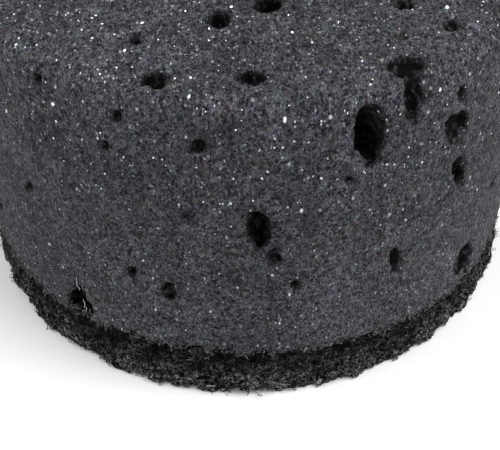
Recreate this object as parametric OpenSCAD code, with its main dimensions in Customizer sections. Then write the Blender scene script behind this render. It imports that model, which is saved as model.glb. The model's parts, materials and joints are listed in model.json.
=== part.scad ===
// Air-driven round sponge filter. +Z is up along the lift tube, the origin is the centre of
// the face it stands on, and the outlet points along +X.

/* [Sponge] */
// Outer diameter of the fine foam
foam_d = 82; // [76:1:96]
// Height of the fine foam
foam_h = 43; // [40:1:50]
// Rounding of the foam's top rim
foam_rim = 3; // [1:0.5:6]
// Outer diameter of the fibre pad under the foam
pad_d = 82; // [74:1:96]
// Thickness of the fibre pad and of the foot inside it
pad_h = 8.5; // [8.5:0.5:11]

/* [Foot] */
// Outer diameter of the weighted foot
foot_d = 56; // [52:1:60]
// Thickness of the foot's top plate and of its bottom cover
plate_t = 1.6; // [1.2:0.1:1.8]
// Number of cover screws
cover_screws = 3; // [3:1:6]
// Distance of the cover screws from the axis
screw_circle_r = 19; // [18:0.5:20]

/* [Core] */
// Outer diameter of the strainer core
core_d = 22; // [20:0.5:23]
// Wall thickness of the strainer core
core_wall = 1.6; // [1.2:0.1:2]
// Slots in each row of the strainer core
core_slots = 8; // [6:2:12]
// Rows of slots
slot_rows = 3; // [2:1:4]
// Width of a slot
slot_w = 2.2; // [1.5:0.1:3]

/* [Lift tube] */
// Outer diameter of the fixed lower tube
lower_d = 14; // [13:0.5:15]
// Wall of the lower tube
lower_wall = 1.4; // [1.2:0.1:1.6]
// Wall of the sliding upper tube
upper_wall = 1.2; // [1:0.1:1.6]
// Length of the lower tube above the core
lower_len = 46; // [44:1:60]
// Length of the upper tube
upper_len = 50; // [48:1:64]

/* [Outlet] */
// Radius of the elbow's bend at its centre line
bend_r = 12; // [11:0.5:14]
// Length of the outlet nozzle's flare
flare_len = 15; // [10:1:20]
// Width of the nozzle's mouth, outside
mouth_w = 26; // [22:1:30]
// Height of the nozzle's mouth, outside
mouth_h = 8.2; // [8:0.2:10]

/* [Air line] */
// Outer diameter of the inner air pipe
pipe_d = 5; // [4.5:0.1:5.4]
// Diameter over the barbs, for a soft hose of 4 mm bore
barb_d = 5; // [4.6:0.1:5.4]
// Number of barbs
barb_count = 3; // [2:1:4]

/* [Hidden] */
$fn = 96;

// Clearances: parts that slide or turn in each other, and parts that only go together
run_gap = 0.05;
fit_gap = 0.1;
// Overshoot of a cutter past the face it cuts
past = 0.5;
// Chamfer on the moulded parts' edges
edge = 0.6;

// Heights up the sponge
foam_top = pad_h + foam_h;
washer_h = 1.5;
collar_z = foam_top + washer_h;

// Foot
foot_r = foot_d / 2;
foot_wall = 1.5;
gasket_h = 0.8;
cover_r = foot_r - foot_wall - fit_gap;
ledge_w = 1.7;
chamber_r = cover_r - ledge_w;
gasket_z = plate_t;
chamber_z = gasket_z + gasket_h;
chamber_top = pad_h - plate_t;
screw_r = 1.25;
screw_head_r = 2.5;
screw_head_h = 1.4;
boss_r = 3;
hub_r = core_d / 2 + 2.2;
hub_gasket_w = 2.6;
nose_r = 6;
socket_z = 4.2;
core_screw_r = 1.5;
core_screw_head_r = 3.2;
core_screw_head_h = 1.8;

// Core
core_r = core_d / 2;
core_bore_r = core_r - core_wall;
core_z = socket_z + fit_gap;
plug_h = 2.8;
core_boss_r = 4;
core_boss_h = 5.4;
core_top = collar_z + 7;
slot_h = 9.5;
slot_first_z = core_z + core_boss_h + slot_h / 2 + 3.3;
slot_last_z = foam_top - slot_h / 2 - 2.5;
core_ring_r = 0.49;

// Collar
collar_r = 15;
collar_neck_r = 10.5;
collar_skirt_h = 8;
collar_cone_h = 4;
collar_h = 19;
collar_top = collar_z + collar_h;
collar_grooves = 24;
groove_r = 0.7;
flange_r = core_r - fit_gap;
flange_h = 1.4;
collar_ring_r = 0.6;
collar_ring_z = collar_top - 3.5;

// Lift tubes
lower_r = lower_d / 2;
lower_bore_r = lower_r - lower_wall;
lower_top = core_top + lower_len;
grip_h = 2;
grip_depth = 0.7;
grip_z = lower_top - 8;
upper_bore_r = lower_r + run_gap;
upper_r = upper_bore_r + upper_wall;
upper_z = collar_top + 0.3;
upper_top = upper_z + upper_len;

// Elbow
elbow_wall = 1.5;
elbow_r = upper_bore_r + elbow_wall;
socket_r = upper_r + run_gap;
socket_len = 10;
socket_wall = 1.5;
bend_z = upper_top + 1.5;
outlet_z = bend_z + bend_r;
spigot_len = 12;
elbow_boss_r = 4.6;
crown_z = bend_z + sqrt(pow(bend_r + elbow_r, 2) - pow(bend_r, 2));
elbow_boss_top = crown_z + 8.8;
stem_r = 3.2;
stem_z = elbow_boss_top - 5.8;

// Nozzle
nozzle_x = bend_r + 0.2;
nozzle_flare_x = bend_r + spigot_len;
nozzle_tip_x = nozzle_flare_x + flare_len;
nozzle_wall = 1.3;
slab = 0.5;
hull_fn = 96;

// Air line
pipe_r = pipe_d / 2;
pipe_bore_r = pipe_r - 0.8;
press_gap = 0.02;
pipe_z = 28;
pipe_top = stem_z - 0.2;
stone_r = 5;
stone_z = core_z + core_boss_h + 2.8;
stone_top = pipe_z - 2;
holder_cup_h = 3;
holder_neck_r = 3.6;
holder_neck_h = 6;
guide_z = collar_top - 2;
guide_h = 6;
guide_fins = 3;
guide_r = lower_bore_r - fit_gap;
fin_w = 1.2;

// Gland nut and barb
nut_wall = 1.4;
nut_z = elbow_boss_top - 4.8;
stem_flange_r = 4.4;
stem_flange_h = 1;
nut_lip_z = elbow_boss_top + stem_flange_h + 2 * fit_gap;
nut_flats_r = 7;
head_r = 3.6;
head_z = nut_lip_z + nut_wall + 0.4;
head_h = 6.2;
nipple_z = head_z + head_h / 2;
nipple_r = barb_d / 2 - 0.6;
nipple_len = 20;
air_bore_r = 1.1;
barb_first_x = 8;
barb_pitch = 4;
barb_land = 0.8;
barb_ramp = 2.4;
stem_ring_r = 0.49;
stem_ring_z = stem_z + 2.4;

plastic = [0.06, 0.06, 0.065];
clear = [0.75, 0.8, 0.82, 0.5];
rubber = [0.03, 0.03, 0.03];
steel = [0.7, 0.7, 0.72];

module tube(r_out, r_in, h) {
    difference() {
        cylinder(r = r_out, h = h);
        translate([0, 0, -past]) cylinder(r = r_in, h = h + 2 * past);
    }
}

// A rod whose top edge is chamfered
module rod(r, h, edge) {
    rotate_extrude() polygon([[0, 0], [r, 0], [r, h - edge], [r - edge, h], [0, h]]);
}

// A rubber ring of round section whose outside reaches r_out
module o_ring(r_out, section_r) {
    rotate_extrude() translate([r_out - section_r, 0]) circle(r = section_r, $fn = 24);
}

// A band cut into the outside of a shaft, from r_in outwards
module outer_groove(r_shaft, r_in, h) {
    tube(r_shaft + past, r_in, h);
}

module around_axis(count, radius) {
    for (i = [0 : count - 1]) rotate([0, 0, i * 360 / count]) translate([radius, 0, 0]) children();
}

module along_x(x, z) {
    translate([x, 0, z]) rotate([0, 90, 0]) children();
}

module foam_body() {
    r = foam_d / 2;
    bore = core_r + 0.2;
    color("dimgray") rotate_extrude() {
        difference() {
            union() {
                translate([bore, pad_h]) square([r - bore, foam_h - foam_rim]);
                translate([bore, pad_h]) square([r - foam_rim - bore, foam_h]);
                translate([r - foam_rim, foam_top - foam_rim]) circle(r = foam_rim);
            }
            translate([-past, 0]) square([bore + past, foam_top + past]);
        }
    }
}

module fibre_pad() {
    color([0.12, 0.12, 0.12]) tube(pad_d / 2, foot_r + 0.3, pad_h);
}

module base_foot() {
    color(plastic) difference() {
        union() {
            difference() {
                cylinder(r = foot_r, h = pad_h);
                translate([0, 0, -past]) cylinder(r = cover_r + fit_gap, h = chamber_z + past);
                translate([0, 0, chamber_z - past]) cylinder(r = chamber_r, h = chamber_top - chamber_z + past);
            }
            translate([0, 0, chamber_z]) cylinder(r = hub_r, h = pad_h - chamber_z);
            translate([0, 0, fit_gap]) cylinder(r = nose_r, h = socket_z);
            around_axis(cover_screws, screw_circle_r)
                translate([0, 0, plate_t]) cylinder(r = boss_r, h = pad_h - plate_t);
        }
        translate([0, 0, socket_z]) cylinder(r = core_r + run_gap, h = pad_h);
        translate([0, 0, -past]) cylinder(r = core_screw_r + fit_gap, h = pad_h);
        translate([0, 0, -past]) cylinder(r = core_screw_head_r + 0.3, h = past + chamber_z);
        around_axis(cover_screws, screw_circle_r)
            translate([0, 0, -past]) cylinder(r = screw_r + press_gap, h = pad_h - 1.5 + past, $fn = 32);
    }
}

module ballast_plate() {
    color(steel) difference() {
        translate([0, 0, chamber_z + fit_gap])
            tube(chamber_r - 0.2, hub_r + 0.3, chamber_top - chamber_z - 2 * fit_gap);
        around_axis(cover_screws, screw_circle_r) cylinder(r = boss_r + 0.4, h = pad_h, $fn = 48);
    }
}

module base_gaskets() {
    color(rubber) translate([0, 0, gasket_z]) {
        tube(cover_r, chamber_r + fit_gap, gasket_h);
        tube(hub_r, hub_r - hub_gasket_w, gasket_h);
    }
}

module base_cover() {
    color(plastic) difference() {
        cylinder(r = cover_r, h = plate_t);
        translate([0, 0, -past]) cylinder(r = nose_r + fit_gap, h = plate_t + 2 * past);
        around_axis(cover_screws, screw_circle_r) {
            translate([0, 0, -past]) cylinder(r = screw_r + 0.15, h = plate_t + 2 * past, $fn = 32);
            translate([0, 0, -press_gap])
                cylinder(r1 = screw_head_r + 0.3, r2 = screw_r, h = screw_head_h + press_gap, $fn = 32);
        }
    }
}

module base_screws() {
    slot = 0.7;
    color(steel) around_axis(cover_screws, screw_circle_r) difference() {
        union() {
            translate([0, 0, run_gap]) cylinder(r1 = screw_head_r, r2 = screw_r, h = screw_head_h, $fn = 32);
            translate([0, 0, 1]) cylinder(r = screw_r, h = pad_h - 3, $fn = 32);
        }
        translate([-slot / 2, -screw_r, 0]) cube([slot, 2 * screw_r, slot]);
        translate([-screw_r, -slot / 2, 0]) cube([2 * screw_r, slot, slot]);
    }
}

module core_screw() {
    slot = 0.9;
    head_z = chamber_z - core_screw_head_h;
    color(steel) difference() {
        union() {
            translate([0, 0, head_z]) cylinder(r = core_screw_head_r, h = core_screw_head_h);
            translate([0, 0, chamber_z]) cylinder(r = core_screw_r, h = core_z + core_boss_h - chamber_z - 0.7);
        }
        translate([-slot / 2, -2, head_z - past]) cube([slot, 4, past + slot]);
        translate([-2, -slot / 2, head_z - past]) cube([4, slot, past + slot]);
    }
}

module strainer_core() {
    color(plastic) difference() {
        union() {
            translate([0, 0, core_z]) tube(core_r, core_bore_r, core_top - core_z);
            translate([0, 0, core_z]) cylinder(r = core_r, h = plug_h);
            translate([0, 0, core_z]) cylinder(r = core_boss_r, h = core_boss_h);
        }
        translate([0, 0, core_z - past]) cylinder(r = core_screw_r + press_gap, h = past + core_boss_h - 0.6);
        translate([0, 0, core_z + 0.8])
            outer_groove(core_r, core_r - 0.95, 2 * core_ring_r + fit_gap);
        for (row = [0 : slot_rows - 1], i = [0 : core_slots / 2 - 1]) {
            z = slot_first_z + row * (slot_last_z - slot_first_z) / (slot_rows - 1);
            rotate([0, 0, i * 360 / core_slots])
                translate([-core_r - past, -slot_w / 2, z - slot_h / 2])
                cube([core_d + 2 * past, slot_w, slot_h]);
        }
    }
}

module core_o_ring() {
    color(rubber) translate([0, 0, core_z + 0.8 + core_ring_r + fit_gap / 2])
        o_ring(core_r + run_gap - 0.01, core_ring_r);
}

module sponge_washer() {
    color(plastic) translate([0, 0, foam_top]) difference() {
        union() {
            cylinder(r = 16, h = washer_h - 0.5);
            translate([0, 0, washer_h - 0.5]) cylinder(r1 = 16, r2 = 15.5, h = 0.5);
        }
        translate([0, 0, -past]) cylinder(r = core_r + 0.2, h = washer_h + 2 * past);
    }
}

module collar_nut() {
    shoulder_z = core_top + flange_h + run_gap;
    color(plastic) difference() {
        union() {
            translate([0, 0, collar_z]) cylinder(r = collar_r, h = collar_skirt_h);
            translate([0, 0, collar_z + collar_skirt_h])
                cylinder(r1 = collar_r, r2 = collar_neck_r, h = collar_cone_h);
            translate([0, 0, collar_z]) rod(collar_neck_r, collar_h, edge);
        }
        translate([0, 0, collar_z - past]) cylinder(r = core_r + run_gap, h = shoulder_z - collar_z + past);
        cylinder(r = lower_r + run_gap, h = collar_top + past);
        translate([0, 0, collar_ring_z - collar_ring_r - run_gap])
            cylinder(r = lower_r + 2 * collar_ring_r + run_gap, h = 2 * (collar_ring_r + run_gap));
        around_axis(collar_grooves, collar_r)
            translate([0, 0, collar_z - past]) cylinder(r = groove_r, h = collar_h, $fn = 16);
    }
}

module collar_o_ring() {
    color(rubber) translate([0, 0, collar_ring_z])
        o_ring(lower_r + 2 * collar_ring_r + 0.02, collar_ring_r);
}

module lower_lift_tube() {
    color(clear) difference() {
        union() {
            translate([0, 0, core_top]) cylinder(r = flange_r, h = flange_h);
            translate([0, 0, core_top]) cylinder(r = lower_r, h = lower_len);
        }
        translate([0, 0, core_top - past]) cylinder(r = lower_bore_r, h = lower_len + 2 * past);
        translate([0, 0, grip_z]) outer_groove(lower_r, lower_r - grip_depth, grip_h);
    }
}

module grip_ring() {
    color(rubber) translate([0, 0, grip_z + run_gap])
        tube(lower_r + 0.03, lower_r - grip_depth + 0.02, grip_h - 2 * run_gap);
}

module upper_lift_tube() {
    color(clear) translate([0, 0, upper_z]) tube(upper_r, upper_bore_r, upper_len);
}

// A quarter bend from straight up at the axis to level along +X
module quarter_bend(r) {
    translate([bend_r, 0, bend_z]) rotate([90, 0, 0]) rotate([0, 0, 90])
        rotate_extrude(angle = 90) translate([bend_r, 0]) circle(r = r);
}

module outlet_elbow() {
    color(plastic) difference() {
        union() {
            translate([0, 0, upper_top - socket_len]) rod(socket_r + socket_wall, socket_len + 1, edge);
            translate([0, 0, upper_top]) cylinder(r = elbow_r, h = bend_z - upper_top);
            quarter_bend(elbow_r);
            along_x(bend_r, outlet_z) cylinder(r = upper_r, h = spigot_len);
            translate([0, 0, outlet_z]) cylinder(r = elbow_boss_r, h = elbow_boss_top - outlet_z);
        }
        translate([0, 0, upper_top - socket_len - past]) cylinder(r = socket_r, h = socket_len + past);
        translate([0, 0, upper_top - past]) cylinder(r = upper_bore_r, h = bend_z - upper_top + past);
        quarter_bend(upper_bore_r);
        along_x(bend_r, outlet_z) cylinder(r = upper_bore_r, h = spigot_len + past);
        translate([0, 0, outlet_z]) cylinder(r = pipe_r + press_gap, h = elbow_boss_top - outlet_z);
        translate([0, 0, pipe_top]) cylinder(r = stem_r + run_gap, h = elbow_boss_top);
    }
}

// The flare between a round pipe and the flat mouth, as one smooth solid
module flare(r_pipe, mouth_across, mouth_tall, x_from, x_to) {
    end_r = mouth_tall / 2;
    hull() {
        along_x(x_from, outlet_z) cylinder(r = r_pipe, h = slab, $fn = hull_fn);
        for (side = [-1, 1]) translate([0, side * (mouth_across / 2 - end_r), 0])
            along_x(x_to - slab, outlet_z) cylinder(r = end_r, h = slab, $fn = hull_fn);
    }
}

module outlet_nozzle() {
    shell_r = socket_r + nozzle_wall;
    color(plastic) difference() {
        union() {
            along_x(nozzle_x, outlet_z) cylinder(r = shell_r, h = nozzle_flare_x - nozzle_x + slab);
            flare(shell_r, mouth_w, mouth_h, nozzle_flare_x, nozzle_tip_x);
        }
        along_x(nozzle_x - past, outlet_z)
            cylinder(r = socket_r, h = nozzle_flare_x - nozzle_x + past + run_gap);
        flare(upper_bore_r, mouth_w - 2 * nozzle_wall, mouth_h - 2 * nozzle_wall,
            nozzle_flare_x - run_gap, nozzle_tip_x + past);
    }
}

module air_pipe() {
    color(clear) translate([0, 0, pipe_z]) tube(pipe_r, pipe_bore_r, pipe_top - pipe_z);
}

module pipe_guide() {
    color(plastic) translate([0, 0, guide_z]) difference() {
        union() {
            cylinder(r = pipe_r + 1, h = guide_h);
            intersection() {
                cylinder(r = guide_r, h = guide_h);
                around_axis(guide_fins, 0) translate([0, -fin_w / 2, 0]) cube([guide_r + past, fin_w, guide_h]);
            }
        }
        translate([0, 0, -past]) cylinder(r = pipe_r + press_gap, h = guide_h + 2 * past);
    }
}

module stone_holder() {
    cup_r = stone_r + 0.9;
    color(plastic) translate([0, 0, stone_top]) difference() {
        union() {
            translate([0, 0, -holder_cup_h]) cylinder(r = cup_r, h = holder_cup_h + 1);
            cylinder(r = holder_neck_r, h = pipe_z - stone_top + holder_neck_h);
        }
        translate([0, 0, -holder_cup_h - past]) cylinder(r = stone_r + press_gap, h = holder_cup_h + past);
        translate([0, 0, -past]) cylinder(r = air_bore_r, h = pipe_z);
        translate([0, 0, pipe_z - stone_top]) cylinder(r = pipe_r + press_gap, h = holder_neck_h + past);
    }
}

module air_stone() {
    color("slategray") translate([0, 0, stone_top]) mirror([0, 0, 1]) rod(stone_r, stone_top - stone_z, edge);
}

module gland_nut() {
    nut_h = nut_lip_z + nut_wall - nut_z;
    color(plastic) difference() {
        translate([0, 0, nut_z]) intersection() {
            cylinder(r = nut_flats_r, h = nut_h, $fn = 6);
            rod(nut_flats_r, nut_h, 2 * edge);
        }
        translate([0, 0, nut_z - past]) cylinder(r = elbow_boss_r + run_gap, h = nut_lip_z - nut_z + past);
        cylinder(r = stem_r + fit_gap, h = nut_lip_z + nut_wall + past);
    }
}

// One barb: a short land, then a ramp down towards the tip
module barb() {
    cylinder(r = barb_d / 2, h = barb_land, $fn = 48);
    translate([0, 0, barb_land]) cylinder(r1 = barb_d / 2, r2 = nipple_r, h = barb_ramp, $fn = 48);
}

module air_barb() {
    color(plastic) difference() {
        union() {
            translate([0, 0, stem_z]) cylinder(r = stem_r, h = head_z - stem_z + 1);
            translate([0, 0, elbow_boss_top + fit_gap]) cylinder(r = stem_flange_r, h = stem_flange_h);
            translate([0, 0, head_z]) rod(head_r, head_h, edge);
            translate([0, 0, nipple_z]) rotate([0, -90, 0]) {
                cylinder(r = nipple_r, h = nipple_len, $fn = 48);
                for (i = [0 : barb_count - 1]) translate([0, 0, barb_first_x + i * barb_pitch]) barb();
            }
        }
        translate([0, 0, stem_z - past]) cylinder(r = air_bore_r, h = nipple_z - stem_z + past, $fn = 48);
        translate([0, 0, nipple_z]) rotate([0, -90, 0]) cylinder(r = air_bore_r, h = nipple_len + past, $fn = 48);
        translate([0, 0, stem_ring_z - stem_ring_r - run_gap])
            outer_groove(stem_r, stem_r - 0.95, 2 * (stem_ring_r + run_gap));
    }
}

module barb_o_ring() {
    color(rubber) translate([0, 0, stem_ring_z]) o_ring(stem_r + 0.03, stem_ring_r);
}

foam_body();
fibre_pad();
base_foot();
ballast_plate();
base_gaskets();
base_cover();
base_screws();
core_screw();
strainer_core();
core_o_ring();
sponge_washer();
collar_nut();
collar_o_ring();
lower_lift_tube();
grip_ring();
upper_lift_tube();
outlet_elbow();
outlet_nozzle();
air_pipe();
pipe_guide();
stone_holder();
air_stone();
gland_nut();
air_barb();
barb_o_ring();
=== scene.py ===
"""Looks of the round sponge filter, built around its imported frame. Lengths are in metres unless said."""
import itertools
import json
import math

import bpy
import numpy as np
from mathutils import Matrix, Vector


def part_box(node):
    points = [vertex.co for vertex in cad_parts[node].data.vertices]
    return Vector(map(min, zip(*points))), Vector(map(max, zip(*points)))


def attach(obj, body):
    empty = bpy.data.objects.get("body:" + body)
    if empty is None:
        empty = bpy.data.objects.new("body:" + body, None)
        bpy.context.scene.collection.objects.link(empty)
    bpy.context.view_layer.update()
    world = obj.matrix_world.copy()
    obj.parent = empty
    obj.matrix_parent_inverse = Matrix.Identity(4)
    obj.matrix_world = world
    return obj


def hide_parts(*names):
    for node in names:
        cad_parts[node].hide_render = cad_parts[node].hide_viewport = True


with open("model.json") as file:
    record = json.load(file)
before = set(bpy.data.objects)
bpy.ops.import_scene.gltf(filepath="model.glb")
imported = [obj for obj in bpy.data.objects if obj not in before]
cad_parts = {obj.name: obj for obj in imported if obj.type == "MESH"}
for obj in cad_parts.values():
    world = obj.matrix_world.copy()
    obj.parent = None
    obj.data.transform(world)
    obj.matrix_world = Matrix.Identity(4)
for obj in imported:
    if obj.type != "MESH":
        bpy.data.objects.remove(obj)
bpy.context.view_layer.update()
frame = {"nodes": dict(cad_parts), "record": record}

MM = 0.001
foam_low, foam_high = (np.array(c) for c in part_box("foam_body"))
pad_low, pad_high = (np.array(c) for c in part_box("fibre_pad"))
core_high = np.array(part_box("strainer_core")[1])
foot_high = np.array(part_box("base_foot")[1])

FOAM_R = foam_high[0]
FOAM_TOP = foam_high[2]
FOAM_BOTTOM = foam_low[2]
FOAM_BORE = core_high[0] + 0.2 * MM
FOAM_RIM = 3 * MM
PAD_R = pad_high[0]
PAD_TOP = pad_high[2]
PAD_HOLE = foot_high[0] + 0.3 * MM
CELL = 0.8 * MM
# Spacing of the grids that the soft pieces are meshed on, and corners round a fibre
NET_STEP = 0.45 * MM
TUBE_SIDES = 3


# ---------------------------------------------------------------- numbers

def smooth_noise(points, size, seed):
    """Random values from -1 to 1 at points (n, 3), in soft lumps about size across."""
    side = 48
    table = np.random.default_rng(seed).uniform(-1, 1, (side, side, side)).astype(np.float32)
    scaled = points / size
    cell = np.floor(scaled).astype(np.int64)
    part = (scaled - cell).astype(np.float32)
    part = part * part * (3 - 2 * part)
    total = np.zeros(len(points), np.float32)
    for corner in itertools.product((0, 1), repeat=3):
        index = (cell + corner) % side
        weight = np.where(np.array(corner) == 1, part, 1 - part).prod(axis=1)
        total += weight * table[index[:, 0], index[:, 1], index[:, 2]]
    return total


def layered_noise(points, layers):
    """The sum of smooth noises at points (n, 3), each layer being its reach, lump size and seed."""
    return sum(reach * smooth_noise(points, size, seed) for reach, size, seed in layers)


def cell_distance(points, size, seed):
    """Distance from points (n, 3) to the nearest of scattered centres, about size apart."""
    side = 32
    table = np.random.default_rng(seed).uniform(0, 1, (side, side, side, 3)).astype(np.float32)
    scaled = points / size
    cell = np.floor(scaled).astype(np.int64)
    nearest = np.full(len(points), 9.0, np.float32)
    for step in itertools.product((-1, 0, 1), repeat=3):
        other = cell + step
        index = other % side
        centre = other + table[index[:, 0], index[:, 1], index[:, 2]]
        nearest = np.minimum(nearest, np.linalg.norm(scaled - centre, axis=1))
    return nearest * size


def grid_points(low, high, step):
    """The points of a regular grid over a box, as an array (nx, ny, nz, 3)."""
    axes = [np.arange(a, b + step, step) for a, b in zip(low, high)]
    return np.stack(np.meshgrid(*axes, indexing="ij"), axis=-1)


def surface_net(field, low, step):
    """Vertices and quads on the zero level of a 3-D field that is negative inside."""
    inside = field < 0
    corners = np.array(list(itertools.product((0, 1), repeat=3)))
    spans = [n - 1 for n in field.shape]
    count = np.zeros(spans, np.int8)
    for i, j, k in corners:
        count += inside[i:i + spans[0], j:j + spans[1], k:k + spans[2]]
    mixed = (count > 0) & (count < 8)
    cells = np.argwhere(mixed)
    number = np.full(spans, -1, np.int64)
    number[mixed] = np.arange(len(cells))

    value = [field[tuple((cells + c).T)] for c in corners]
    total = np.zeros((len(cells), 3))
    hits = np.zeros(len(cells))
    for a, b in itertools.combinations(range(8), 2):
        if np.abs(corners[a] - corners[b]).sum() != 1:
            continue
        crosses = (value[a] < 0) != (value[b] < 0)
        gap = np.where(crosses, value[a] - value[b], 1)
        share = np.where(crosses, value[a] / gap, 0)
        total += crosses[:, None] * (corners[a] + share[:, None] * (corners[b] - corners[a]))
        hits += crosses
    vertices = np.asarray(low) + step * (cells + total / hits[:, None])

    quads = []
    for axis in range(3):
        u, v = np.eye(3, dtype=int)[[(axis + 1) % 3, (axis + 2) % 3]]
        first = np.take(inside, range(field.shape[axis] - 1), axis)
        second = np.take(inside, range(1, field.shape[axis]), axis)
        index = np.argwhere(first != second)
        index = index[(index @ u > 0) & (index @ v > 0)]
        index = index[(index @ u < (np.array(spans) @ u)) & (index @ v < (np.array(spans) @ v))]
        around = [number[tuple((index - a * u - b * v).T)] for a, b in ((1, 1), (0, 1), (0, 0), (1, 0))]
        quad = np.stack(around, axis=1)
        leaves = first[tuple(index.T)]
        quads.append(np.where(leaves[:, None], quad, quad[:, ::-1]))
    return vertices, np.concatenate(quads)


def unit(vectors):
    """The vectors (..., 3) at length 1."""
    return vectors / np.maximum(np.linalg.norm(vectors, axis=-1, keepdims=True), 1e-12)


def turned_out(turn):
    """Level unit vectors (n, 3) that point away from the axis at the given turns."""
    return np.stack([np.cos(turn), np.sin(turn), np.zeros(len(turn))], axis=1)


def lifted(height):
    """Vectors (n, 3) straight up by the given heights."""
    return np.stack([np.zeros(len(height)), np.zeros(len(height)), height], axis=1)


def tubes(paths, radius, taper=0.45):
    """Vertices, quads and end caps of thin tubes along paths (count, points, 3), narrower at their ends."""
    sides = TUBE_SIDES
    count, points, _ = paths.shape
    along = unit(np.gradient(paths, axis=1))
    hint = np.cross(along[:, :1], np.array([0.31, 0.57, 0.76]))
    side = unit(hint - (hint * along).sum(-1, keepdims=True) * along)
    other = np.cross(along, side)
    turn = np.arange(sides) * 2 * math.pi / sides
    width = np.ones(points)
    width[[0, -1]] = taper
    reach = np.asarray(radius).reshape(-1, 1, 1, 1) * width[None, :, None, None]
    ring = np.cos(turn)[:, None] * side[:, :, None] + np.sin(turn)[:, None] * other[:, :, None]
    vertices = (paths[:, :, None] + reach * ring).reshape(-1, 3)
    base = np.arange(count)[:, None, None] * points * sides
    here = base + np.arange(points - 1)[None, :, None] * sides + np.arange(sides)
    beside = base + np.arange(points - 1)[None, :, None] * sides + (np.arange(sides) + 1) % sides
    quads = np.stack([here, beside, beside + sides, here + sides], axis=-1).reshape(-1, 4)
    first = (base[:, :, 0] + np.arange(sides)[::-1]).reshape(-1, sides)
    last = (base[:, :, 0] + (points - 1) * sides + np.arange(sides)).reshape(-1, sides)
    return vertices, quads, np.concatenate([first, last])


# ---------------------------------------------------------------- meshes

def make_piece(name, material, vertices, *face_groups, **attributes):
    """A smooth object from arrays of vertices and of faces, with one float attribute per name."""
    mesh = bpy.data.meshes.new(name)
    mesh.vertices.add(len(vertices))
    mesh.vertices.foreach_set("co", np.asarray(vertices, np.float32).ravel())
    loops = np.concatenate([faces.ravel() for faces in face_groups])
    sizes = np.concatenate([np.full(len(faces), faces.shape[1]) for faces in face_groups])
    mesh.loops.add(len(loops))
    mesh.loops.foreach_set("vertex_index", loops.astype(np.int32))
    mesh.polygons.add(len(sizes))
    mesh.polygons.foreach_set("loop_start", (np.cumsum(sizes) - sizes).astype(np.int32))
    mesh.update(calc_edges=True)
    mesh.validate()
    mesh.polygons.foreach_set("use_smooth", np.full(len(mesh.polygons), True))
    for key, values in attributes.items():
        mesh.attributes.new(key, "FLOAT", "POINT").data.foreach_set("value", values.astype(np.float32))
    mesh.materials.append(material)
    return linked(bpy.data.objects.new(name, mesh))


def linked(thing):
    """The object, now part of the scene."""
    bpy.context.scene.collection.objects.link(thing)
    return thing


# ---------------------------------------------------------------- materials

def add_node(tree, kind, inputs=None, **settings):
    """A shader node with its settings, and its inputs given as values or as other nodes' outputs."""
    node = tree.nodes.new("ShaderNode" + kind)
    for key, value in settings.items():
        setattr(node, key, value)
    for socket, value in (inputs or {}).items():
        if isinstance(value, bpy.types.NodeSocket):
            tree.links.new(value, node.inputs[socket])
        else:
            node.inputs[socket].default_value = value
    return node


def new_material(name, **fixed):
    """A material, its tree, its shader and its coordinates, with fixed values on the shader."""
    material = bpy.data.materials.new(name)
    material.use_nodes = True
    tree = material.node_tree
    shader = tree.nodes["Principled BSDF"]
    for socket, value in fixed.items():
        shader.inputs[socket.replace("_", " ")].default_value = value
    return material, tree, shader, tree.nodes.new("ShaderNodeTexCoord").outputs["Object"]


def noise(tree, place, size, detail=2.0, rough=0.5, output="Fac"):
    """Soft noise from 0 to 1 with lumps about size across."""
    node = add_node(tree, "TexNoise", {"Vector": place, "Scale": 1 / size, "Detail": detail,
                                       "Roughness": rough})
    return node.outputs[output]


def cells(tree, place, size, feature="F1", output="Distance"):
    """A pattern of cells about size across: the distance to their centres or edges, or their colours."""
    node = add_node(tree, "TexVoronoi", {"Vector": place, "Scale": 1 / size}, feature=feature)
    return node.outputs[output]


def ramp(tree, value, low, high, to_low=0.0, to_high=1.0):
    """value from low..high mapped to to_low..to_high, and held at the ends."""
    node = add_node(tree, "MapRange", {"Value": value, "From Min": low, "From Max": high,
                                       "To Min": to_low, "To Max": to_high})
    return node.outputs["Result"]


def maths(tree, operation, first, *others):
    """The operation on the first value and each of the others in turn."""
    for other in others:
        first = add_node(tree, "Math", {0: first, 1: other}, operation=operation).outputs[0]
    return first


def stretched(tree, place, scale):
    """Coordinates scaled along each axis, so that a pattern on them stretches."""
    return add_node(tree, "Mapping", {"Vector": place, "Scale": scale}).outputs["Vector"]


def attribute(tree, name):
    """A float attribute of the mesh."""
    return add_node(tree, "Attribute", attribute_name=name).outputs["Fac"]


def mix_colour(tree, share, first, second):
    """The first colour where share is 0, and the second where it is 1."""
    node = add_node(tree, "Mix", data_type="RGBA")
    for socket, value in ((0, share), (6, first), (7, second)):
        if isinstance(value, bpy.types.NodeSocket):
            tree.links.new(value, node.inputs[socket])
        else:
            node.inputs[socket].default_value = value
    return node.outputs[2]


def grey(level, blue=1.0):
    """A grey, cooler as blue rises above 1."""
    return (level, level, level * blue, 1)


def bump(tree, shader, height, depth, strength=1.0):
    """Raise the shader's surface by up to depth where height is 1."""
    node = add_node(tree, "Bump", {"Height": height, "Distance": depth, "Strength": strength})
    tree.links.new(node.outputs["Normal"], shader.inputs["Normal"])


def web(tree, place, size, width):
    """Thin bright struts between cells about size across, of uneven strength."""
    edge = cells(tree, place, size, "DISTANCE_TO_EDGE")
    strut = ramp(tree, edge, width, width * 0.25)
    return maths(tree, "MULTIPLY", strut, ramp(tree, noise(tree, place, size * 0.9, 2.0), 0.40, 0.60))


def worms(tree, place, size, width):
    """Bright winding lines about size apart."""
    off = maths(tree, "ABSOLUTE", maths(tree, "SUBTRACT", noise(tree, place, size, 1.0), 0.5), 0)
    return ramp(tree, off, width, width * 0.2)


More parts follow.
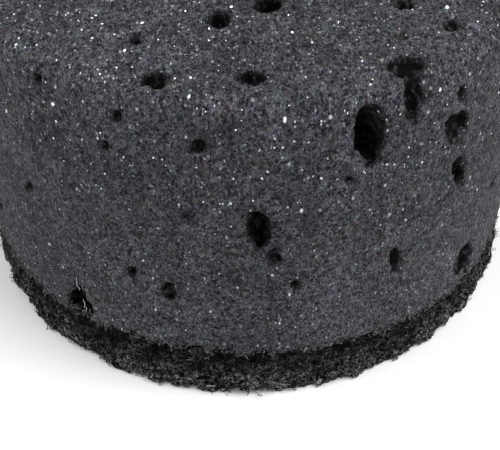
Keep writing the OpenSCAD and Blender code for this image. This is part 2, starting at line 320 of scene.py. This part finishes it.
def glints(tree, place, size, rarity):
    """Scattered bright spots for painted glints, of several sizes and strengths, on the cells above rarity (0
    to 1).
    """
    speck = add_node(tree, "TexVoronoi", {"Vector": place, "Scale": 1 / size})
    chance = add_node(tree, "SeparateColor", {"Color": speck.outputs["Color"]})
    pick, spread, power = chance.outputs
    bright_to, dark_from, falloff, soft_step = 0.30, 0.48, 1.7, 0.004
    off_centre = maths(tree, "DIVIDE", speck.outputs["Distance"], ramp(tree, spread, 0, 1, 0.5, 1.0))
    spot = ramp(tree, off_centre, bright_to, dark_from, 1.0, 0.0)
    chosen = ramp(tree, pick, rarity, rarity + soft_step)
    return maths(tree, "MULTIPLY", spot, maths(tree, "POWER", power, falloff), chosen)


def foam_net(tree, place, bent, height):
    """The foam's struts and cell walls in uneven clumps, from 0 in its cells, where it paints the shade
    inside their openings, to 1; painted light and shade make it lighter low down and darker higher up.
    """
    coarse = maths(tree, "MULTIPLY", web(tree, bent, CELL, 0.27), 0.8)
    small = maths(tree, "MULTIPLY", worms(tree, place, 0.64 * MM, 0.12), 0.8)
    tiny = ramp(tree, noise(tree, bent, 0.30 * MM, 2.0, 0.6), 0.42, 0.66, 0.0, 0.7)
    net = maths(tree, "ADD", maths(tree, "MAXIMUM", coarse, small, tiny), 0.05)
    fine = ramp(tree, noise(tree, place, 0.24 * MM, 2.0, 0.6), 0.32, 0.68, 0.34, 1.22)
    clump = ramp(tree, noise(tree, place, 0.85 * MM, 1.0), 0.30, 0.70, 0.72, 1.25)
    # painted light and shade: lighter low down near the floor, darker higher up
    painted_height_shade = ramp(tree, height, FOAM_BOTTOM + 4 * MM, FOAM_BOTTOM + 30 * MM, 0.95, 0.865)
    cloud = maths(tree, "MULTIPLY", noise(tree, place, 9 * MM), noise(tree, place, 2.4 * MM))
    cloud = ramp(tree, cloud, 0.16, 0.36, 1.12, 0.83)
    return maths(tree, "POWER", maths(tree, "MULTIPLY", net, fine, clump, painted_height_shade, cloud), 1.5)


def foam_painted_glints(tree, bent, height):
    """Painted glints where the cells' windows would catch the light: bright rare ones and dim common ones,
    fewer low down, as if lit from above.
    """
    bright = maths(tree, "MAXIMUM", glints(tree, bent, 0.58 * MM, 0.955), glints(tree, bent, 0.34 * MM, 0.92))
    dim = maths(tree, "MULTIPLY", glints(tree, bent, 0.48 * MM, 0.80), 0.22)
    share = ramp(tree, height, FOAM_BOTTOM + 20 * MM, FOAM_TOP, 0.5, 1.1)
    return maths(tree, "MULTIPLY", maths(tree, "MAXIMUM", bright, dim), share)


GRAIN_STRETCH = (1, 0.68, 0.73)
STRUT_GREY = grey(0.114, 1.16)
# Painted shade: the near black of the cells stands for the shade inside their openings
CELL_SHADE_GREY = grey(0.0036, 1.17)
# Painted shade: the near black put deep in the pores
PAINTED_PORE_SHADE_GREY = grey(0.0015, 1.05)
# Painted highlight: the near white of the glints in the foam's base colour
PAINTED_GLINT_WHITE = (0.92, 0.96, 1.0, 1)


def foam_material():
    """Grey struts and walls over cells in painted shade, painted glints on the cell windows, a faint colour
    speckle, and painted shade deep in the pores.
    """
    material, tree, shader, flat = new_material("filter_foam", Specular_IOR_Level=0.04, Sheen_Weight=0.02)
    place = stretched(tree, flat, GRAIN_STRETCH)
    warp = noise(tree, place, 0.5 * MM, output="Color")
    moved = add_node(tree, "VectorMath", {0: warp, "Scale": 0.4 * MM}, operation="SCALE").outputs["Vector"]
    bent = add_node(tree, "VectorMath", {0: place, 1: moved}, operation="ADD").outputs["Vector"]
    height = add_node(tree, "SeparateXYZ", {"Vector": flat}).outputs["Z"]

    net = foam_net(tree, place, bent, height)
    colour = mix_colour(tree, net, CELL_SHADE_GREY, STRUT_GREY)
    tint = cells(tree, place, 0.45 * MM, output="Color")
    colour = mix_colour(tree, maths(tree, "MULTIPLY", net, 0.03), colour, tint)
    painted_glint = foam_painted_glints(tree, bent, height)
    # painted highlights: near white mixed into the base colour as glints on the cell windows
    colour = mix_colour(tree, painted_glint, colour, PAINTED_GLINT_WHITE)
    # painted shade deep in the pores, broken by paler patches of cell film
    film = ramp(tree, noise(tree, place, 0.8 * MM, 3.0), 0.50, 0.64, 1.0, 0.4)
    painted_pore_shade = maths(tree, "MULTIPLY", attribute(tree, "depth"), film)
    colour = mix_colour(tree, painted_pore_shade, colour, PAINTED_PORE_SHADE_GREY)
    tree.links.new(colour, shader.inputs["Base Color"])
    tree.links.new(ramp(tree, painted_glint, 0, 1, 0.8, 0.3), shader.inputs["Roughness"])
    bump(tree, shader, net, 0.30 * MM, 0.7)
    return material


def fibre_material(name, dark, light, rough):
    """Coarse synthetic fibre; each strand has its own shade between dark and light, which on the pad's fibres
    holds painted shade and light as well as its own tone.
    """
    material, tree, shader, place = new_material(name, Specular_IOR_Level=0.04, Roughness=rough)
    streak = noise(tree, place, 0.5 * MM, 3.0)
    share = maths(tree, "MULTIPLY", attribute(tree, "shade"), ramp(tree, streak, 0.3, 0.7, 0.55, 1.0))
    tree.links.new(mix_colour(tree, share, grey(dark), grey(light)), shader.inputs["Base Color"])
    bump(tree, shader, streak, 0.05 * MM, 0.6)
    return material


def matted_material():
    """The matted middle of the fibre pad: fine pale strands over near black, dimmed and lifted by the painted
    shade and light in its shade attribute.
    """
    material, tree, shader, place = new_material("pad_core", Specular_IOR_Level=0.03, Roughness=0.8)
    strands = maths(tree, "MAXIMUM", worms(tree, place, 0.8 * MM, 0.05), worms(tree, place, 0.45 * MM, 0.06))
    patches = ramp(tree, noise(tree, place, 0.7 * MM, 3.0), 0.40, 0.60)
    share = maths(tree, "MULTIPLY", strands, patches, attribute(tree, "shade"))
    tree.links.new(mix_colour(tree, share, grey(0.002), grey(0.23)), shader.inputs["Base Color"])
    bump(tree, shader, strands, 0.25 * MM, 0.7)
    return material


def plastic_material():
    """Black moulded plastic: faint spark-eroded grain, uneven gloss and a little dried-on dust."""
    material, tree, shader, place = new_material("black_plastic", Specular_IOR_Level=0.38)
    grain = noise(tree, place, 0.25 * MM, 4.0, 0.6)
    flow = noise(tree, place, 14 * MM, 3.0)
    dust = ramp(tree, noise(tree, place, 2.2 * MM, 6.0, 0.7), 0.56, 0.74)
    colour = mix_colour(tree, maths(tree, "MULTIPLY", dust, 0.10), grey(0.007, 1.05), grey(0.13))
    tree.links.new(colour, shader.inputs["Base Color"])
    gloss = ramp(tree, flow, 0.3, 0.7, 0.26, 0.38)
    rough = maths(tree, "ADD", gloss, maths(tree, "MULTIPLY", dust, 0.25))
    tree.links.new(rough, shader.inputs["Roughness"])
    bump(tree, shader, grain, 0.02 * MM, 0.5)
    return material


def tube_material():
    """Clear extruded tube, faintly blue, with drawing lines along it and a light haze."""
    material, tree, shader, place = new_material(
        "clear_tube", Base_Color=(0.76, 0.82, 0.84, 1), IOR=1.47, Transmission_Weight=1.0,
        Specular_IOR_Level=0.5)
    lines = noise(tree, stretched(tree, place, (1, 1, 0.02)), 0.9 * MM, 3.0)
    haze = noise(tree, place, 6 * MM, 4.0, 0.6)
    tree.links.new(ramp(tree, haze, 0.35, 0.75, 0.03, 0.16), shader.inputs["Roughness"])
    bump(tree, shader, lines, 0.05 * MM, 0.35)
    return material


def rubber_material():
    """Matt black rubber with a fine grain."""
    material, tree, shader, place = new_material("rubber", Specular_IOR_Level=0.35)
    grain = noise(tree, place, 0.3 * MM, 4.0, 0.6)
    tree.links.new(mix_colour(tree, grain, grey(0.010), grey(0.028)), shader.inputs["Base Color"])
    tree.links.new(ramp(tree, grain, 0.3, 0.7, 0.5, 0.7), shader.inputs["Roughness"])
    bump(tree, shader, grain, 0.04 * MM, 0.5)
    return material


def steel_material():
    """Turned stainless steel with fine rings."""
    material, tree, shader, place = new_material("steel", Metallic=1.0)
    flat = stretched(tree, place, (1, 1, 0.1))
    rings = add_node(tree, "TexWave", {"Vector": flat, "Scale": 1 / (3 * MM), "Distortion": 1.5},
                     wave_type="RINGS", rings_direction="Z").outputs["Fac"]
    tree.links.new(mix_colour(tree, rings, grey(0.50), grey(0.62)), shader.inputs["Base Color"])
    tree.links.new(ramp(tree, rings, 0, 1, 0.25, 0.4), shader.inputs["Roughness"])
    bump(tree, shader, rings, 0.01 * MM, 0.5)
    return material


def stone_material():
    """Sintered blue-grey grains of the air stone, with painted shade in the gaps between them."""
    material, tree, shader, place = new_material("air_stone", Specular_IOR_Level=0.3, Roughness=0.85)
    grain = cells(tree, place, 0.5 * MM)
    gap = ramp(tree, grain, 0.1, 0.7)
    # painted shade: darker towards the gaps between the grains
    colour = mix_colour(tree, gap, (0.20, 0.27, 0.36, 1), (0.05, 0.07, 0.10, 1))
    tree.links.new(colour, shader.inputs["Base Color"])
    bump(tree, shader, ramp(tree, grain, 0, 0.8, 1, 0), 0.3 * MM)
    return material


# ---------------------------------------------------------------- the foam

# Big pores in the side: turn about the axis in degrees, then height, width, tallness and depth in mm,
# and lean in degrees
SIDE_PORES = [
    (-68.9, 45.7, 4.0, 8.4, 8.0, 15), (-88, 32.6, 2.6, 6.6, 4.5, 9), (-85, 27.3, 1.8, 3.0, 1.2, 7),
    (-98, 45.7, 1.5, 1.8, 1.5, -18), (-100, 34.3, 1.6, 2.2, 0.8, -20), (-112, 48.0, 1.0, 1.3, 0.9, -30),
    (-115, 42.8, 1.1, 2.0, 1.2, -17), (-112, 21.8, 1.6, 2.5, 1.5, -25), (-105, 19.7, 1.7, 3.4, 1.9, -4),
    (-61, 22.0, 1.8, 5.0, 2.0, 16), (-72, 38.6, 1.0, 2.6, 0.6, 7), (-81, 21.9, 1.1, 1.5, 0.7, 11),
    (-50, 46.1, 2.0, 2.8, 0.9, 30), (-50, 41, 3.8, 10.5, 1.5, 16), (-47, 32.6, 1.8, 8.0, 2.2, 15),
    (-39, 11.5, 4.4, 9.0, 2.2, 20), (-128, 49.2, 1.6, 1.8, 1.0, -40), (-61, 49, 2.6, 4.4, 1.8, 8),
    (-61, 46.6, 1.7, 6.2, 1.1, 11), (-126, 9.3, 4.4, 12.0, 3.2, -8),
]
# Big pores in the top: turn in degrees, then distance from the axis, width across, length outwards
# and depth in mm
TOP_PORES = [
    (-107, 36.7, 3.1, 3.3, 3.0), (-89, 35.0, 3.3, 2.8, 3.0), (-99, 22.7, 3.3, 4.0, 4.0),
    (-82, 19.4, 3.4, 3.2, 4.0), (-117, 30.2, 1.2, 1.6, 1.5), (-44, 27.7, 2.7, 2.4, 2.0),
    (-43, 34.8, 2.1, 1.8, 1.5), (-54, 32.3, 1.5, 1.5, 0.5), (-60, 37.4, 4.2, 4.0, 2.0),
    (-60.5, 39.8, 2.2, 3.0, 1.8),
]
# Random pores keep to the turns, in degrees, outside those of the placed ones
RANDOM_TURNS = (-35, 225)
RANDOM_SIDE_PORES = 46
RANDOM_TOP_PORES = 20
PORE_DIP = math.radians(32)
# Pores with a half width over LOBED_PORE get smaller lobes further in
PORE_LOBES = 3
LOBED_PORE = 1.2 * MM

# Layers of noise on the foam, each with its reach, lump size and seed
FOAM_GRAIN = [(0.10 * MM, 0.5 * MM, 1), (0.10 * MM, 0.9 * MM, 2), (0.12 * MM, 3.5 * MM, 3)]
FOAM_FRAY = [(0.35 * MM, 0.9 * MM, 10)]
PORE_WOBBLE = [(0.34 * MM, 1.4 * MM, 5), (0.24 * MM, 0.7 * MM, 6)]
PIT_R = 0.42 * CELL
PIT_SHARE = 0.5
# How near the surface the noise acts, and how high the fray and the unseen underside reach
GRAIN_REACH = 1.2 * MM
FRAY_HIGH = 2.0 * MM
UNDERSIDE_HIGH = 4 * MM

# The torn skirt that hangs over the pad's edge
SKIRT_WIDTH = 1.6 * MM
SKIRT_FADE = 0.5 * MM
SKIRT_DROOP = 0.9 * MM
SKIRT_SWING = 1.0 * MM
SKIRT_HIGHEST = math.radians(-95)
SKIRT_TEARS = [(0.8 * MM, 3.2 * MM, 7), (0.9 * MM, 1.3 * MM, 8), (0.7 * MM, 0.7 * MM, 9)]


def side_pore(turn, height, width, tall, depth, lean=0):
    """One ellipsoid that dips as it goes in: its centre, its axes as rows and its half sizes."""
    angle, tilt = math.radians(turn), math.radians(lean)
    outward = np.array([math.cos(angle), math.sin(angle), 0])
    side = np.array([-math.sin(angle), math.cos(angle), 0])
    up = np.array([0, 0, 1.0])
    centre = outward * FOAM_R + up * height * MM
    axis = math.cos(PORE_DIP) * outward + math.sin(PORE_DIP) * up
    rise = math.cos(PORE_DIP) * up - math.sin(PORE_DIP) * outward
    across = math.cos(tilt) * side + math.sin(tilt) * rise
    along = math.cos(tilt) * rise - math.sin(tilt) * side
    return centre, np.array([across, along, axis]), np.array([width / 2, tall / 2, depth]) * MM


def top_pore(turn, radius, width, length, depth):
    """One ellipsoid straight down into the top, given as side_pore gives it."""
    angle = math.radians(turn)
    outward = np.array([math.cos(angle), math.sin(angle), 0])
    across = np.array([-math.sin(angle), math.cos(angle), 0])
    centre = outward * radius * MM + np.array([0, 0, FOAM_TOP])
    return centre, np.array([across, outward, [0, 0, 1.0]]), np.array([width / 2, length / 2, depth]) * MM


def all_pores():
    """The placed pores, and random ones round the rest of the foam."""
    chance = np.random.default_rng(11)
    found = [side_pore(*p) for p in SIDE_PORES] + [top_pore(*p) for p in TOP_PORES]
    for _ in range(RANDOM_SIDE_PORES):
        width = 1.3 + 3.2 * chance.random() ** 3
        turn = chance.uniform(*RANDOM_TURNS)
        height = chance.uniform(FOAM_BOTTOM / MM + 4, FOAM_TOP / MM - 4)
        tall = width * chance.uniform(1.1, 2.0)
        depth = width * chance.uniform(0.8, 1.5)
        found.append(side_pore(turn, height, width, tall, depth, chance.uniform(-15, 15)))
    for _ in range(RANDOM_TOP_PORES):
        width = 1.2 + 2.4 * chance.random() ** 2
        turn = chance.uniform(*RANDOM_TURNS)
        radius = chance.uniform(19, 37)
        found.append(top_pore(turn, radius, width, width * chance.uniform(0.8, 1.2), width))
    return found


def edge_droop(turn):
    """How far the foam's edge hangs below its underside at a turn in radians, before it is torn."""
    return SKIRT_DROOP - SKIRT_SWING * np.cos(2 * (turn - SKIRT_HIGHEST))


def foam_shape(points):
    """Signed distance to the plain foam: a bored cylinder with a soft rim and a torn hanging skirt."""
    x, y, z = points[..., 0], points[..., 1], points[..., 2]
    r = np.hypot(x, y)
    rim_r, rim_z = r - (FOAM_R - FOAM_RIM), z - (FOAM_TOP - FOAM_RIM)
    corner = np.hypot(np.maximum(rim_r, 0), np.maximum(rim_z, 0))
    outer = corner + np.minimum(np.maximum(rim_r, rim_z), 0) - FOAM_RIM
    skirt = np.clip((r - FOAM_R + SKIRT_WIDTH) / SKIRT_FADE, 0, 1)
    layer = (points[:, :, 0] * [1, 1, 0]).reshape(-1, 3)
    tears = layered_noise(layer, SKIRT_TEARS).reshape(points.shape[:2])[:, :, None]
    lowest = FOAM_BOTTOM - skirt * (edge_droop(np.arctan2(y, x)) + tears)
    return np.maximum(np.maximum(outer, lowest - z), FOAM_BORE - r)


def carve_pores(field, plain, points, low):
    """Cut every pore out of the field; returns how far into a pore each point is, from 0 to 1."""
    chance = np.random.default_rng(12)
    depth = np.zeros(field.shape, np.float32)
    for centre, axes, sizes in all_pores():
        reach = sizes.max() * 1.5
        first = np.clip(((centre - reach - low) / NET_STEP).astype(int), 0, None)
        last = ((centre + reach - low) / NET_STEP).astype(int) + 2
        block = tuple(slice(a, b) for a, b in zip(first, last))
        spot = points[block].reshape(-1, 3)
        size = sizes[:2].min()
        wobble = layered_noise(spot, PORE_WOBBLE)
        local = (spot - centre) @ axes.T
        hole = (np.linalg.norm(local / sizes, axis=1) - 1) * size + wobble
        for _ in range(PORE_LOBES if size > LOBED_PORE else 0):
            way = unit(chance.normal(size=3) - [0, 0, 1.6]) * sizes * 0.8
            lobe = np.linalg.norm(local - way, axis=1) - size * chance.uniform(0.2, 0.4)
            hole = np.minimum(hole, lobe)
        hole = hole.reshape(field[block].shape)
        inward = np.clip(-plain[block] / (0.6 * MM), 0, 1)
        field[block] = np.maximum(field[block], -hole)
        depth[block] = np.maximum(depth[block], inward * (hole < 0.4 * MM))
    return depth


def roughen(field, points):
    """Grain, pits and a frayed lower edge on all of the field's surface that can be seen."""
    values = field.reshape(-1)
    band = np.flatnonzero(np.abs(values) < GRAIN_REACH)
    spot = points.reshape(-1, 3)[band]
    height = spot[:, 2] - FOAM_BOTTOM
    ragged = np.clip((FRAY_HIGH - height) / FRAY_HIGH, 0, 1)
    seen = np.clip((np.hypot(spot[:, 0], spot[:, 1]) - FOAM_R + 6 * MM) / (2 * MM), 0, 1)
    seen = np.where(height > UNDERSIDE_HIGH, 1, seen)
    pits = PIT_SHARE * np.clip(PIT_R - cell_distance(spot, CELL, 4), 0, None)
    grain = layered_noise(spot, FOAM_GRAIN) + ragged * layered_noise(spot, FOAM_FRAY)
    values[band] += seen * (grain + pits)


def make_foam(material):
    """The foam: its plain shape, carved and roughened on a grid, and meshed."""
    margin = 2 * NET_STEP
    low, high = foam_low - margin - np.array([0, 0, 2 * MM]), foam_high + margin
    points = grid_points(low, high, NET_STEP)
    plain = foam_shape(points).astype(np.float32)
    field = plain.copy()
    depth = carve_pores(field, plain, points, low)
    roughen(field, points)
    vertices, quads = surface_net(field, low, NET_STEP)
    place = np.clip(((vertices - low) / NET_STEP).round().astype(int), 0, np.array(field.shape) - 1)
    # depth drives the painted shade deep in the pores
    return make_piece("filter_foam", material, vertices, quads, depth=depth[tuple(place.T)])


# ---------------------------------------------------------------- the fibre pad

# Layers of noise on the pad's side, each with its reach, lump size and seed
PAD_LUMPS = [(0.6 * MM, 2.6 * MM, 21), (0.55 * MM, 1.3 * MM, 22), (0.3 * MM, 0.7 * MM, 24)]
# How far the pad's side stands back at its top, and how much less at the floor
PAD_BACK = 0.8 * MM
PAD_FLARE = 0.95 * MM
# How far fibres may reach above the pad, and the share of them that is pale
STRAY_ABOVE = 1.2 * MM
PALE_STRANDS = 0.012


def pad_recess(points):
    """How far the pad's lumpy side stands back from its full radius at points (n, 3), most at its top."""
    flare = PAD_FLARE * np.clip(1 - points[:, 2] / PAD_TOP, 0, 1)
    return PAD_BACK - flare + layered_noise(points, PAD_LUMPS)


def painted_pad_shading(points):
    """Painted light and shade: pale on the pad's proud lumps and towards the floor, black in its hollows and
    under the foam.
    """
    lump = np.clip(0.8 - pad_recess(points) / (1.45 * MM), 0.05, 1)
    return lump * np.clip(1.25 - 0.9 * points[:, 2] / PAD_TOP, 0.2, 1)


def make_pad_core(material):
    """The dense, lumpy middle of the pad, dark between its loose outer fibres, with painted light and shade
    as its shade attribute.
    """
    margin = np.array([6, 6, 0]) * NET_STEP
    low = pad_low - margin - np.array([0, 0, NET_STEP])
    high = pad_high + margin + np.array([0, 0, 2 * NET_STEP])
    points = grid_points(low, high, NET_STEP)
    x, y, z = points[..., 0], points[..., 1], points[..., 2]
    r = np.hypot(x, y)
    side = r - PAD_R
    outer = side > -3 * MM
    side[outer] += pad_recess(points[outer])
    field = np.maximum.reduce([side, PAD_HOLE - r, z - (PAD_TOP - 0.1 * MM), 0.05 * MM - z])
    vertices, quads = surface_net(field, low, NET_STEP)
    return make_piece("pad_core", material, vertices, quads, shade=painted_pad_shading(vertices))


def curls(base, outward, points, reach, rise, chance):
    """Curly strands that wander about base (n, 3) and rise along outward (n, 3)."""
    count = len(base)
    along = unit(np.cross(outward, np.array([0.02, 0.03, 1.0])))
    up = np.cross(along, outward)
    t = np.linspace(0, 1, points)[None, :]

    def wave(size):
        """A slow random swing of every strand, and two quicker ones."""
        total = np.zeros((count, points))
        for turns, share in ((0.5, 1.0), (1.1, 0.7), (1.9, 0.35)):
            phase = chance.uniform(0, 2 * math.pi, (count, 1))
            strength = size * share * chance.uniform(0.3, 1, (count, 1))
            total += strength * np.sin(2 * math.pi * turns * t + phase)
        return total

    a, b = wave(reach), wave(reach)
    c = wave(rise * 0.6) + rise * np.sin(math.pi * t) * chance.uniform(0.1, 1, (count, 1))
    return (base[:, None] + a[..., None] * along[:, None] + b[..., None] * up[:, None]
            + c[..., None] * outward[:, None])


def make_strands(name, material, paths, radius, shade):
    """One piece of thin tubes along paths (count, points, 3), each with its own radius and shade."""
    vertices, quads, caps = tubes(paths, radius)
    shades = np.repeat(shade, paths.shape[1] * TUBE_SIDES)
    return make_piece(name, material, vertices, quads, caps, shade=shades)


def pad_fibres(name, material, count, thickness, reach, rise, seed, points):
    """Loose fibres all round the pad's edge, kept off the floor and close to the pad's outline."""
    chance = np.random.default_rng(seed)
    turn = chance.uniform(0, 2 * math.pi, count)
    height = chance.uniform(0.2, PAD_TOP / MM + 0.3, count) * MM
    outward = turned_out(turn)
    recess = pad_recess(outward * PAD_R + lifted(height))
    radius = PAD_R - recess - chance.uniform(-0.15, 0.3, count) * MM
    base = outward * radius[:, None] + lifted(height)
    paths = curls(base, outward, points, reach, rise, chance)
    flat = np.hypot(paths[..., 0], paths[..., 1])
    limit = PAD_R + 2 * rise
    paths[..., :2] *= (np.minimum(flat, limit) / flat)[..., None]
    paths[..., 2] = np.clip(paths[..., 2], thickness * 0.6, PAD_TOP + STRAY_ABOVE)
    widths = thickness / 2 * chance.uniform(0.7, 1.2, count)
    # a random tone for each fibre, times the painted light and shade of the pad where it starts
    tone_and_painted_shade = 0.45 * chance.random(count) ** 1.6 * painted_pad_shading(base)
    pale = 0.8 * (chance.random(count) < PALE_STRANDS)
    return make_strands(name, material, paths, widths, tone_and_painted_shade + pale)


def foam_fringe(material, count, struts, points):
    """Torn strut junctions of the foam, in clumps along its lower edge, each of a few short bent struts."""
    chance = np.random.default_rng(41)
    clumps = chance.uniform(0, 2 * math.pi, count // 7)
    turn = chance.choice(clumps, count) + chance.normal(0, 0.012, count)
    height = FOAM_BOTTOM + chance.uniform(-0.5, 1.0, count) * MM - edge_droop(turn)
    radius = FOAM_R - chance.uniform(0.1, 0.7, count) * MM
    base = np.repeat(turned_out(turn) * radius[:, None] + lifted(height), struts, axis=0)
    total = struts * count
    length = chance.uniform(0.2, 0.42, (total, 1, 1)) * MM
    way = unit(chance.normal(0, 1, (total, 3)))[:, None]
    bend = chance.normal(0, 0.5, (total, 1, 3))
    t = np.linspace(0, 1, points)[None, :, None]
    paths = base[:, None] + length * (t * way + t * t * bend)
    widths = 0.11 * MM * chance.uniform(0.6, 1.2, total)
    return make_strands("foam_fringe", material, paths, widths, chance.random(total) ** 2)


def lint(material, points):
    """A few pale loose threads caught on the side of the foam: two placed ones and others behind."""
    chance = np.random.default_rng(51)
    turn = np.radians(np.append([-125, -124], chance.uniform(0, 200, 9)))
    height = np.append([15.0, 11.0], chance.uniform(12, 46, 9)) * MM
    outward = turned_out(turn)
    base = outward * (FOAM_R + 0.1 * MM) + lifted(height)
    paths = curls(base, outward, points, 0.35 * MM, 0.15 * MM, chance)
    paths[..., 2] += np.linspace(-1.1, 1.1, points) * MM
    return make_strands("lint", material, paths, np.full(len(turn), 0.06 * MM), np.ones(len(turn)))


# ---------------------------------------------------------------- build

def on_base(piece):
    """The piece, now moving with the base."""
    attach(piece, "base")
    return piece


foam = on_base(make_foam(foam_material()))
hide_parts("foam_body")

pad = on_base(make_pad_core(matted_material()))
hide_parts("fibre_pad")

loose_fibre = fibre_material("pad_fibre", 0.003, 0.36, 0.6)
# Each kind of loose fibre: name, count, thickness, reach and rise in mm, seed, and points along it
FIBRES = [
    ("pad_fibres", 2500, 0.19, 0.5, 0.15, 31, 12),
    ("pad_fine_fibres", 3000, 0.13, 0.35, 0.15, 33, 9),
    ("pad_fuzz", 3000, 0.07, 0.3, 0.4, 34, 7),
    ("pad_stray_fibres", 80, 0.11, 0.7, 0.8, 32, 16),
]
for name, count, thick, reach, rise, seed, points in FIBRES:
    strands = pad_fibres(name, loose_fibre, count, thick * MM, reach * MM, rise * MM, seed, points)
    on_base(strands)
on_base(lint(fibre_material("lint", 0.2, 0.4, 0.7), points=22))
fringe = foam_fringe(fibre_material("foam_strut", 0.015, 0.22, 0.6), count=2000, struts=4, points=4)
on_base(fringe)

looks = {
    "black_plastic": plastic_material(),
    "clear_tube": tube_material(),
    "rubber": rubber_material(),
    "steel": steel_material(),
    "air_stone": stone_material(),
}
for part in frame["record"]["subparts"]:
    node = frame["nodes"][part["node"]]
    if part["material_slot"] in looks:
        node.data.materials.clear()
        node.data.materials.append(looks[part["material_slot"]])

# ---------------------------------------------------------------- stage, light and camera

ELEVATION = math.radians(43.9)
DISTANCE = 200 * MM
AIM = Vector((0.4 * MM, 0, -6 * MM))
LENS = 83.2
FLOOR_REACH = 3.0
SUN_WIDTH = math.radians(30)
WORLD_STRENGTH = 1.02


def make_floor():
    """A plain pale floor at the pad's foot."""
    mesh = bpy.data.meshes.new("floor")
    corners = [(-1, -1), (1, -1), (1, 1), (-1, 1)]
    mesh.from_pydata([(x * FLOOR_REACH, y * FLOOR_REACH, 0) for x, y in corners], [], [(0, 1, 2, 3)])
    material = new_material("floor", Base_Color=grey(0.69), Roughness=0.6, Specular_IOR_Level=0.2)[0]
    mesh.materials.append(material)
    linked(bpy.data.objects.new("floor", mesh))


def soft_sun(name, turn, height, strength):
    """A wide sun from a turn about the axis and a height above the floor, both in degrees."""
    lamp = bpy.data.lights.new(name, "SUN")
    lamp.energy = strength
    lamp.angle = SUN_WIDTH
    holder = linked(bpy.data.objects.new(name, lamp))
    holder.rotation_euler = (0, math.radians(90 - height), math.radians(turn))


def make_world():
    """Even white light from all round."""
    world = bpy.data.worlds.new("studio")
    world.use_nodes = True
    sky = world.node_tree.nodes["Background"]
    sky.inputs["Color"].default_value = (1, 1, 1, 1)
    sky.inputs["Strength"].default_value = WORLD_STRENGTH
    bpy.context.scene.world = world


def make_camera():
    """A close camera in front, looking down at the foam's lower half."""
    data = bpy.data.cameras.new("camera")
    data.lens = LENS
    data.sensor_width = 36
    data.clip_start = 0.005
    camera = linked(bpy.data.objects.new("camera", data))
    look = Vector((0, math.cos(ELEVATION), -math.sin(ELEVATION)))
    camera.location = AIM - look * DISTANCE
    camera.rotation_euler = (math.pi / 2 - ELEVATION, 0, 0)
    bpy.context.scene.camera = camera


make_floor()
make_world()
soft_sun("key", -12, 64, 2.4)
soft_sun("fill", 178, 52, 1.0)
soft_sun("side", 0, 22, 0.9)
make_camera()
bpy.context.scene.view_settings.view_transform = "Standard"
